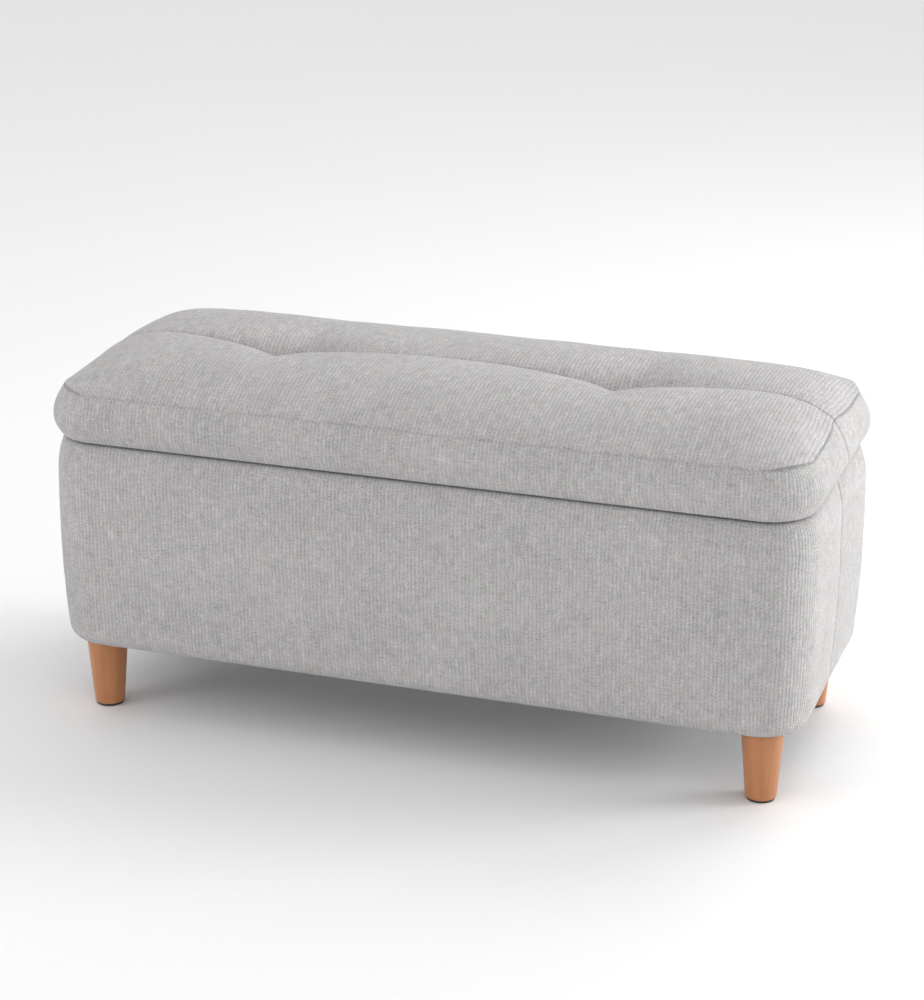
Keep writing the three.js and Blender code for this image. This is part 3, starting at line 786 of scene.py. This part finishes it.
@dataclass
class LidUpholstery:
    """The lid's foam and fabric: one closed soft form with a sewn top, a border and two blind tufts."""

    finishes: Finishes
    corner: float = 70 * MM
    seam_inset: float = 10 * MM
    widest: float = 403 * MM
    crown: float = 43 * MM
    end_lean: float = 6 * MM
    end_rise: float = 7 * MM
    tuft_depth: float = 52 * MM
    tuft_along: float = 58 * MM
    tuft_behind: float = 40 * MM
    tuft_before: float = 32 * MM
    tuft_skew: float = 10 * MM
    pad_swell: float = 3 * MM
    fold_depth: float = 5 * MM
    fold_width: float = 14 * MM
    fold_soft: float = 1.5 * MM
    swell_radius: float = 44 * MM
    swell_width: float = 26 * MM
    crown_along: int = 12
    crown_across: float = 3.5
    hem_draw: float = 12 * MM
    seam_pinch: float = 4 * MM
    hem_pinch: float = 3 * MM
    pinch_width: float = 28 * MM
    rise_width: float = 48 * MM
    lean_start: float = 360 * MM
    front_drop: float = 1.6 * MM
    rows: int = 112
    columns: int = 300
    row_crowd: float = 0.72
    column_crowd: float = 0.30
    border_steps: int = 26
    border_step: float = 8 * MM
    border_map: tuple[float, float] = (2.0, 1.0)
    broad: Ripple = Ripple(1.3 * MM, 110 * MM, 2.2)
    small: Ripple = Ripple(0.5 * MM, 38 * MM, 6.6)
    top_pucker: Ripple = Ripple(0.4 * MM, 14 * MM, 4.4)
    end_pucker: Ripple = Ripple(0.6 * MM, 12 * MM, 7.7)
    edge_pucker: Ripple = Ripple(0.5 * MM, 17 * MM, 9.1)
    sag: Ripple = Ripple(0.9 * MM, 70 * MM, 2.9)
    outline: Outline = field(init=False)
    hem: float = field(init=False)
    seam: float = field(init=False)
    tuft_x: float = field(init=False)
    to_border: dict[bmesh.types.BMVert, float] = field(default_factory=dict, init=False)
    top_verts: set[bmesh.types.BMVert] = field(default_factory=set, init=False)

    def __post_init__(self) -> None:
        """Reads the lid's box and the tufts' places from the frame."""
        low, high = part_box("lid_border_front")
        self.outline = Outline(high.x, -low.y, self.corner)
        self.hem, self.seam = low.z, high.z
        tie_low, tie_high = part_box("tuft_tie_right")
        self.tuft_x = (tie_low.x + tie_high.x) / 2

    def border_inset(self, z: float) -> float:
        """How far the border stands inside its widest outline at a height."""
        below = max(0.0, (self.widest - z) / (self.widest - self.hem))
        above = max(0.0, (z - self.widest) / (self.seam - self.widest))
        return self.hem_draw * below**2.5 + self.seam_inset * above**2.4

    def border_profile(self) -> Profile:
        """The border's section below its seam, down the side and under to the hem."""
        points: Profile = []
        for i in range(1, self.border_steps + 1):
            z = self.seam + (self.hem + 1 * MM - self.seam) * i / self.border_steps
            points.append((self.border_inset(z), z))
        points += [(14.5 * MM, self.hem + 0.2 * MM), (18 * MM, self.hem), (45 * MM, self.hem)]
        points += [(45 * MM, self.hem + FABRIC)]
        return fine_profile([(self.seam_inset, self.seam), *points], self.border_step)[1:]

    def end_pinch(self, station: Station, z: float) -> float:
        """How far an end draws its border in, towards the top and most at the seam down its middle."""
        at_end = self.outline.at_end(station.x, 75 * MM, 12 * MM)
        up = ease(z, self.widest - 14 * MM, self.seam)
        down = 1 - ease(z, self.hem, self.hem + 14 * MM)
        lean = self.end_lean * up**1.5
        pinch = self.seam_pinch * up + self.hem_pinch * down
        return at_end * (lean + bell(station.y, self.pinch_width) * pinch)

    def seam_lift(self, station: Station, z: float) -> float:
        """How far the top of an end's border rises towards the middle seam."""
        at_end = self.outline.at_end(station.x, 40 * MM, 5 * MM)
        return at_end * self.end_rise * bell(station.y, self.rise_width) * ease(z, self.widest, self.seam)

    def tuft(self, dx: float, y: float) -> float:
        """Depth of a tuft: folds run from its middle along and across the lid, with full pads between them.

        Args:
            dx: Distance from the tuft's middle along the lid.
            y: Distance from it across the lid.

        Returns:
            The depth below the lid's crown.
        """
        bent = dx - self.tuft_skew * math.tanh(y / (8 * MM))
        soft = (2.5 + 6 * ease(-y, 0, 20 * MM)) * MM
        run = softened(bent, soft) / self.tuft_along
        rise = softened(y, self.fold_soft) / (self.tuft_behind if y > 0 else self.tuft_before)
        depth = self.tuft_depth * math.exp(-run - rise)
        angle = math.atan2(y, bent)
        ring = bell(math.hypot(bent * 0.6, y) - self.swell_radius, self.swell_width)
        return depth - self.pad_swell * ring * abs(math.sin(2 * angle)) ** 0.8

    def top(self, x: float, y: float) -> float:
        """Height of the lid's top: a crown with a fold along its middle seam and two tufts.

        Args:
            x: The point's place along the lid.
            y: Its place across the lid.

        Returns:
            The height above the floor.
        """
        along = min(1.0, abs(x) / (self.outline.half_length - self.seam_inset))
        across = min(1.0, abs(y) / (self.outline.half_depth - self.seam_inset))
        crown = self.crown * (1 - along**self.crown_along) * (1 - across**self.crown_across)
        fold = self.fold_depth * math.exp(-softened(y, self.fold_soft) / self.fold_width)
        dips = sum(self.tuft(x - side * self.tuft_x, y) for side in (-1, 1))
        soft = self.broad.at(x, y, 0) + self.small.at(x, y, 0)
        end_rise = self.end_rise * bell(y, self.rise_width) * along**10
        inside = (1 - along**12) * (1 - across**12)
        return self.seam + crown + end_rise - (dips + fold - soft) * inside

    def spread(self, share: float) -> float:
        """A share from -1 to 1 across the lid, with rows crowded at the middle seam and at the edges."""
        half = abs(share)
        return math.copysign(half - self.row_crowd * math.sin(2 * math.pi * half) / (2 * math.pi), share)

    def mesh(self) -> bmesh.types.BMesh:
        """The top as a grid, with the border drawn down from its edge and the underside closed."""
        bm = bmesh.new()
        bm.verts.layers.float.new(SEAM)
        bmesh.ops.create_grid(bm, x_segments=self.columns, y_segments=self.rows, size=1.0)
        layer = bm.loops.layers.uv.new("UVMap")
        inner = Outline(
            self.outline.half_length - self.seam_inset,
            self.outline.half_depth - self.seam_inset,
            self.corner - self.seam_inset,
        )
        for vert in bm.verts:
            along = vert.co.x * (1 + self.column_crowd * (1 - vert.co.x**2))
            x, y = round_corners(along * inner.half_length, self.spread(vert.co.y) * inner.half_depth, inner)
            vert.co = Vector((x, y, 0.0))
        for face in bm.faces:
            for loop in face.loops:
                loop[layer].uv = (loop.vert.co.x, loop.vert.co.y)
        self.to_border = {vert: inner.depth(vert.co.x, vert.co.y) for vert in bm.verts}
        rim = [edge for edge in bm.edges if edge.is_boundary]
        stations = {vert: inner.nearest(vert.co.x, vert.co.y) for edge in rim for vert in edge.verts}
        outer = {
            vert: self.outline.nearest(place.x + place.nx, place.y + place.ny)
            for vert, place in stations.items()
        }
        for vert in bm.verts:
            x, y = vert.co.x, vert.co.y
            lean = self.end_lean + self.seam_pinch * bell(y, self.pinch_width)
            vert.co.x -= math.copysign(lean * ease(abs(x), self.lean_start, inner.half_length), x)
            vert.co.z = self.top(x, y)
        self.top_verts = set(bm.verts)
        self.draw_border(bm, rim, stations, outer, layer)
        return bm

    def draw_border(
        self,
        bm: bmesh.types.BMesh,
        rim: list[bmesh.types.BMEdge],
        stations: dict[bmesh.types.BMVert, Station],
        outer: dict[bmesh.types.BMVert, Station],
        layer: bmesh.types.BMLayerItem,
    ) -> None:
        """Extrudes the top's edge down the border's section, maps it, and closes the underside.

        Args:
            bm: The lid's mesh, with its top in place.
            rim: The top's boundary edges.
            stations: The place of each rim vertex on the seam's outline.
            outer: The place of each rim vertex on the lid's widest outline.
            layer: The UV layer.
        """
        length = 0.0
        last = (self.seam_inset, self.seam)
        ring, places = rim, dict(outer)
        depth_of = {vert: 0.0 for vert in stations}
        for inset, z in self.border_profile():
            length += math.hypot(inset - last[0], z - last[1])
            last = (inset, z)
            made = bmesh.ops.extrude_edge_only(bm, edges=ring)["geom"]
            fresh = {item for item in made if isinstance(item, bmesh.types.BMVert)}
            faces = [item for item in made if isinstance(item, bmesh.types.BMFace)]
            for vert in fresh:
                old = next(e.other_vert(vert) for e in vert.link_edges if e.other_vert(vert) not in fresh)
                place = places[old]
                places[vert] = place
                depth_of[vert] = length
                self.to_border[vert] = length
                vert.co = place.inside(inset + self.end_pinch(place, z), z + self.seam_lift(place, z))
            for face in faces:
                arcs = {loop.vert: places[loop.vert].arc for loop in face.loops}
                wrap = max(arcs.values()) - min(arcs.values()) > self.outline.perimeter / 2
                for loop in face.loops:
                    arc = arcs[loop.vert]
                    if wrap and arc < self.outline.perimeter / 2:
                        arc += self.outline.perimeter
                    loop[layer].uv = (arc + self.border_map[0], self.border_map[1] - depth_of[loop.vert])
            ring = [e for e in bm.edges if e.is_boundary]
        bmesh.ops.contextual_create(bm, geom=ring)

    def groove(self, vert: bmesh.types.BMVert) -> Vector:
        """How far the fabric sinks into its seams, with the small puckers that the stitches draw.

        Args:
            vert: A vertex of the lid above its hem.

        Returns:
            The move.
        """
        x, y, z = vert.co
        on_top = vert in self.top_verts
        edge_distance = self.to_border[vert]
        if on_top:
            middle = 1.2 * MM * bell(y, 1.5 * MM)
            middle += (self.top_pucker.at(x, 0, 0) + 0.12 * MM) * bell(y, 12 * MM)
        else:
            at_end = self.outline.at_end(x, 60 * MM, 30 * MM)
            middle = at_end * 2.2 * MM * bell(y, 1.9 * MM)
            middle += at_end * self.end_pucker.at(0, y * 0.2, z) * bell(y, 14 * MM)
        border = 1.1 * MM * bell(edge_distance, 1.5 * MM)
        border += self.edge_pucker.at(x, y, 0) * bell(edge_distance, 10 * MM)
        sag = self.sag.at(x, y, z) * (not on_top)
        return vert.normal * (sag - middle - border)

    def stitched(self, vert: bmesh.types.BMVert) -> float:
        """How deep in a seam a vertex lies, from 0 to 1, as the mask of the painted shade in the lid's
        seams.
        """
        x, y, _ = vert.co
        near_end = self.outline.at_end(x, 130 * MM, 60 * MM)
        on_side = self.outline.at_end(x, 75 * MM, 35 * MM)
        middle = bell(y, 1.0 * MM) * near_end
        return max(middle, (0.15 + 0.5 * on_side) * bell(self.to_border[vert], 1.0 * MM))

    def build(self) -> bpy.types.Object:
        """Makes the piece and puts it in the frame."""
        bm = self.mesh()
        bmesh.ops.recalc_face_normals(bm, faces=bm.faces)
        bm.normal_update()
        moves = {vert: self.groove(vert) for vert in bm.verts if vert.co.z > self.hem + 2 * MM}
        # mask of the painted shade in the lid's seams
        mark_seams(bm, {vert: self.stitched(vert) for vert in moves})
        for vert, move in moves.items():
            vert.co += move
        for vert in bm.verts:
            low = 1 - ease(vert.co.z, self.hem, self.hem + 10 * MM)
            edge = 1 - ease(self.outline.depth(vert.co.x, vert.co.y), 12 * MM, 19 * MM)
            vert.co.z -= self.front_drop * low * edge * fade_to_back(vert.co.y)
        piece = shown(bm, "lid_upholstery", self.finishes.of(Slot.GREY_FABRIC))
        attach(piece, "lid")
        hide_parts("lid_top_front", "lid_top_back", "lid_border_front", "lid_border_back", "lid_foam")
        return piece


# ---- turned pieces ----


def turned(
    name: str, points: Profile, middle: Vector, material: bpy.types.Material, steps: int
) -> bpy.types.Object:
    """A closed turning about an upright line.

    Args:
        name: The piece's name.
        points: Its (radius, height) outline, which starts and ends on the line.
        middle: A point of the line.
        material: Its finish.
        steps: How many steps make the full turn.

    Returns:
        The piece.
    """
    bm = bmesh.new()
    verts = [bm.verts.new((middle.x + radius, middle.y, z)) for radius, z in points]
    edges = [bm.edges.new(pair) for pair in zip(verts, verts[1:])]
    bmesh.ops.spin(
        bm,
        geom=[*verts, *edges],
        cent=(middle.x, middle.y, 0.0),
        axis=(0.0, 0.0, 1.0),
        angle=2 * math.pi,
        steps=steps,
        use_merge=True,
    )
    bmesh.ops.remove_doubles(bm, verts=bm.verts, dist=1e-6)
    return shown(bm, name, material)


@dataclass
class TuftTies:
    """The cord that pulls each tuft down, and the washer that anchors it under the lid's board."""

    finishes: Finishes
    lid: LidUpholstery
    cord: float = 1.8 * MM
    washer: float = 2 * MM
    edge: float = 0.4 * MM
    below_fabric: float = 3 * MM
    steps: int = 32

    def build(self) -> list[bpy.types.Object]:
        """Makes both ties, each ending just under the fabric of its tuft."""
        made = []
        for side in ("left", "right"):
            node = f"tuft_tie_{side}"
            low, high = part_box(node)
            middle = (low + high) / 2
            rim, top = (high.x - low.x) / 2, self.lid.top(middle.x, 0.0) - self.below_fabric
            outline = [(0.0, low.z), (rim - self.edge, low.z), (rim, low.z + self.edge)]
            outline += [(rim, low.z + self.washer), (self.cord, low.z + self.washer)]
            outline += [(self.cord, top), (0.0, top)]
            tie = turned(f"tuft_cord_{side}", outline, middle, self.finishes.of(Slot.NON_WOVEN), self.steps)
            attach(tie, "lid")
            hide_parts(node)
            made.append(tie)
        return made


@dataclass
class Legs:
    """Four turned, tapered legs, each with a glide under it."""

    finishes: Finishes
    steps: int = 72
    edge: float = 1.5 * MM

    def build(self) -> list[bpy.types.Object]:
        """Makes the legs and glides and puts them in the frame."""
        made = []
        for row in ("front", "back"):
            for side in ("left", "right"):
                made += self.leg(f"{row}_{side}")
        return made

    def leg(self, corner: str) -> list[bpy.types.Object]:
        """One leg and its glide.

        Args:
            corner: The leg's place, such as front_left.

        Returns:
            The leg and the glide.
        """
        low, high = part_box(f"leg_{corner}")
        glide_low, glide_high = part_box(f"leg_glide_{corner}")
        middle = (low + high) / 2
        top_radius = (high.x - low.x) / 2
        glide_radius = (glide_high.x - glide_low.x) / 2
        foot_radius = glide_radius + 1.5 * MM
        outline = [(0.0, low.z), (foot_radius - self.edge, low.z)]
        for i in range(1, 6):
            angle = i / 5 * math.pi / 2
            lift = self.edge * (1 - math.cos(angle))
            outline.append((foot_radius - self.edge * (1 - math.sin(angle)), low.z + lift))
        for i in range(1, 13):
            share = i / 12
            z = low.z + self.edge + (high.z - 1 * MM - low.z - self.edge) * share
            outline.append((foot_radius + (top_radius - foot_radius) * share, z))
        outline += [(top_radius - 0.5 * MM, high.z - 0.2 * MM), (top_radius - 1 * MM, high.z), (0.0, high.z)]
        leg = turned(f"turned_leg_{corner}", outline, middle, self.finishes.of(Slot.BEECH), self.steps)
        disc = [(0.0, glide_low.z), (glide_radius - 1.2 * MM, glide_low.z)]
        disc += [(glide_radius - 0.3 * MM, 0.4 * MM), (glide_radius, 1.3 * MM)]
        disc += [(glide_radius, glide_high.z), (0.0, glide_high.z)]
        glide = turned(f"foot_glide_{corner}", disc, middle, self.finishes.of(Slot.DARK_PLASTIC), self.steps)
        pairs = ((leg, f"leg_{corner}", Slot.BEECH), (glide, f"leg_glide_{corner}", Slot.DARK_PLASTIC))
        for piece, node, slot in pairs:
            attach(piece, "box")
            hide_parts(node)
        return [leg, glide]


# ---- stage ----


@dataclass(frozen=True)
class Softbox:
    """A square lamp aimed at a point."""

    name: str
    place: tuple[float, float, float]
    aim: tuple[float, float, float]
    size: float
    power: float

    def build(self) -> None:
        """Puts the lamp in the scene."""
        data = bpy.data.lights.new(self.name, "AREA")
        data.shape = "SQUARE"
        data.size = self.size
        data.energy = self.power
        lamp = bpy.data.objects.new(self.name, data)
        lamp.location = self.place
        lamp.rotation_euler = (Vector(self.aim) - Vector(self.place)).to_track_quat("-Z", "Y").to_euler()
        bpy.context.scene.collection.objects.link(lamp)


@dataclass(frozen=True)
class Studio:
    """The floor, the lights and the camera."""

    yaw: float = math.radians(18.86)
    pitch: float = math.radians(18.23)
    distance: float = 3.511
    target: tuple[float, float, float] = (0.0024, 0.0, 0.4183)
    lens: float = 99.65
    shift: float = -0.10
    ambient: float = 0.84
    lamps: Iterable[Softbox] = (
        Softbox("key", (3.2, 1.1, 1.0), (0.2, 0.0, 0.34), 1.2, 64.0),
        Softbox("top", (1.2, 1.6, 2.6), (0.0, 0.0, 0.35), 1.6, 26.0),
        Softbox("fill", (-2.8, -2.4, 1.5), (-0.3, 0.0, 0.3), 1.6, 24.0),
    )

    def build(self) -> None:
        """Makes the stage."""
        self.floor()
        for lamp in self.lamps:
            lamp.build()
        self.sky()
        self.camera()
        bpy.context.scene.view_settings.view_transform = "Standard"

    def floor(self) -> None:
        """A wide pale floor."""
        bm = bmesh.new()
        bmesh.ops.create_grid(bm, x_segments=1, y_segments=1, size=20.0)
        finish = Mottled("pale_floor", (0.87, 0.87, 0.87), (0.90, 0.90, 0.90), (2, 2, 2), (40, 40, 40), 0.7)
        ground = shown(bm, "floor", finish.make())

    def sky(self) -> None:
        """Even light from all round."""
        world = bpy.data.worlds.new("studio")
        world.use_nodes = True
        backdrop = world.node_tree.nodes["Background"]
        backdrop.inputs["Color"].default_value = (1.0, 1.0, 1.0, 1.0)
        backdrop.inputs["Strength"].default_value = self.ambient
        bpy.context.scene.world = world

    def camera(self) -> None:
        """A long lens that looks down on the bench from its front right."""
        data = bpy.data.cameras.new("camera")
        data.lens = self.lens
        data.shift_y = self.shift
        data.clip_end = 100.0
        camera = bpy.data.objects.new("camera", data)
        level = math.cos(self.pitch)
        ahead = Vector((-math.sin(self.yaw) * level, math.cos(self.yaw) * level, -math.sin(self.pitch)))
        camera.location = Vector(self.target) - ahead * self.distance
        camera.rotation_euler = ahead.to_track_quat("-Z", "Y").to_euler()
        bpy.context.scene.collection.objects.link(camera)
        bpy.context.scene.camera = camera


def main() -> None:
    """Builds the looks in order."""
    for old in [o for o in bpy.context.scene.objects if o.type in {"LIGHT", "CAMERA"}]:
        bpy.data.objects.remove(old)
    Studio().build()
    log.info("stage: floor, lights and camera")
    finishes = Finishes()
    finishes.dress_frame()
    log.info("frame: %d nodes dressed", len(frame["nodes"]))
    lid = LidUpholstery(finishes)
    for builder in (lid, BoxUpholstery(finishes)):
        piece = builder.build()
        log.info("%s: %d faces", piece.name, len(piece.data.polygons))
    for piece in [*TuftTies(finishes, lid).build(), *Legs(finishes).build()]:
        log.info("%s: %d faces", piece.name, len(piece.data.polygons))


if __name__ == "__main__":
    main()
